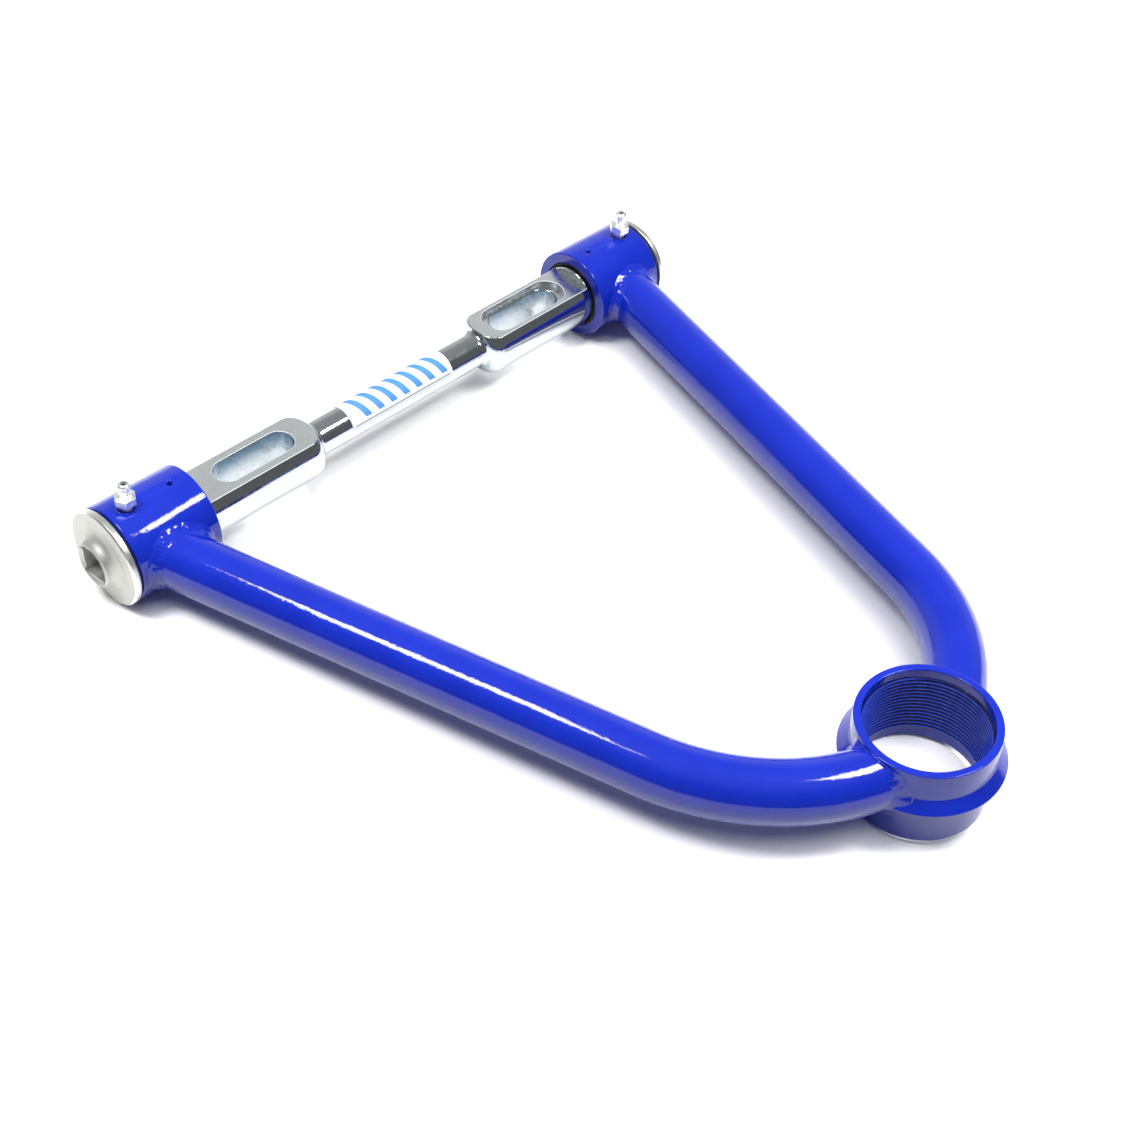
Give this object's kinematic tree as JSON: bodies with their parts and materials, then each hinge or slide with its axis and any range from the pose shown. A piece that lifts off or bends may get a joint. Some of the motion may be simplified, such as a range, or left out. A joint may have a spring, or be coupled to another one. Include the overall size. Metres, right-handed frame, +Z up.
{
  "type": "upper control arm",
  "caption": "Tubular A-shaped suspension control arm: bent tubes join a threaded ball joint ring to housings on a slotted cross shaft.",
  "frame": {"origin": "middle of the bounding box at floor level, with the arm lying on its two end caps and the edge of its ring", "axes": "+X from the cross shaft to the ball joint ring, +Y along the cross shaft to the end nearer the ring's middle line, +Z up"},
  "size_m": [0.3661, 0.3526, 0.06],
  "materials": {
    "blue_paint": "gloss",
    "plated_steel": "bright zinc plating",
    "satin_nickel": "satin",
    "black_rubber": "matte",
    "bronze": "machined",
    "fitting_zinc": "bright zinc plating",
    "spring_steel": "polished",
    "label_film": "gloss film"
  },
  "bodies": {
    "arm": {"ball_joint_ring": "blue_paint", "front_arm_tube": "blue_paint", "rear_arm_tube": "blue_paint", "front_housing": "blue_paint", "rear_housing": "blue_paint", "front_housing_weld": "blue_paint", "rear_housing_weld": "blue_paint", "front_ring_weld": "blue_paint", "rear_ring_weld": "blue_paint", "front_end_cap": "satin_nickel", "rear_end_cap": "satin_nickel", "front_outer_seal": "black_rubber", "rear_outer_seal": "black_rubber", "front_inner_seal": "black_rubber", "rear_inner_seal": "black_rubber", "front_bush": "bronze", "rear_bush": "bronze", "front_thrust_washer": "bronze", "rear_thrust_washer": "bronze", "front_grease_fitting": "fitting_zinc", "rear_grease_fitting": "fitting_zinc", "front_check_spring": "spring_steel", "rear_check_spring": "spring_steel"},
    "shaft": {"cross_shaft": "plated_steel", "shaft_label": "label_film"},
    "front_ball": {"front_check_ball": "spring_steel"},
    "rear_ball": {"rear_check_ball": "spring_steel"}
  },
  "joints": [
    {"name": "shaft_turn", "type": "hinge", "parent": "arm", "child": "shaft", "pos_m": [-0.1599, 0, 0.02315], "axis": [0, 1, 0], "continuous": true},
    {"name": "front_check_ball", "type": "slide", "parent": "arm", "child": "front_ball", "axis": [0, 0, -1], "range_m": [0, 0.0008], "stiffness_N_per_m": 300, "springref_m": -0.002, "deforming": ["front_check_spring"]},
    {"name": "rear_check_ball", "type": "slide", "parent": "arm", "child": "rear_ball", "axis": [0, 0, -1], "range_m": [0, 0.0008], "stiffness_N_per_m": 300, "springref_m": -0.002, "deforming": ["rear_check_spring"]}
  ]
}
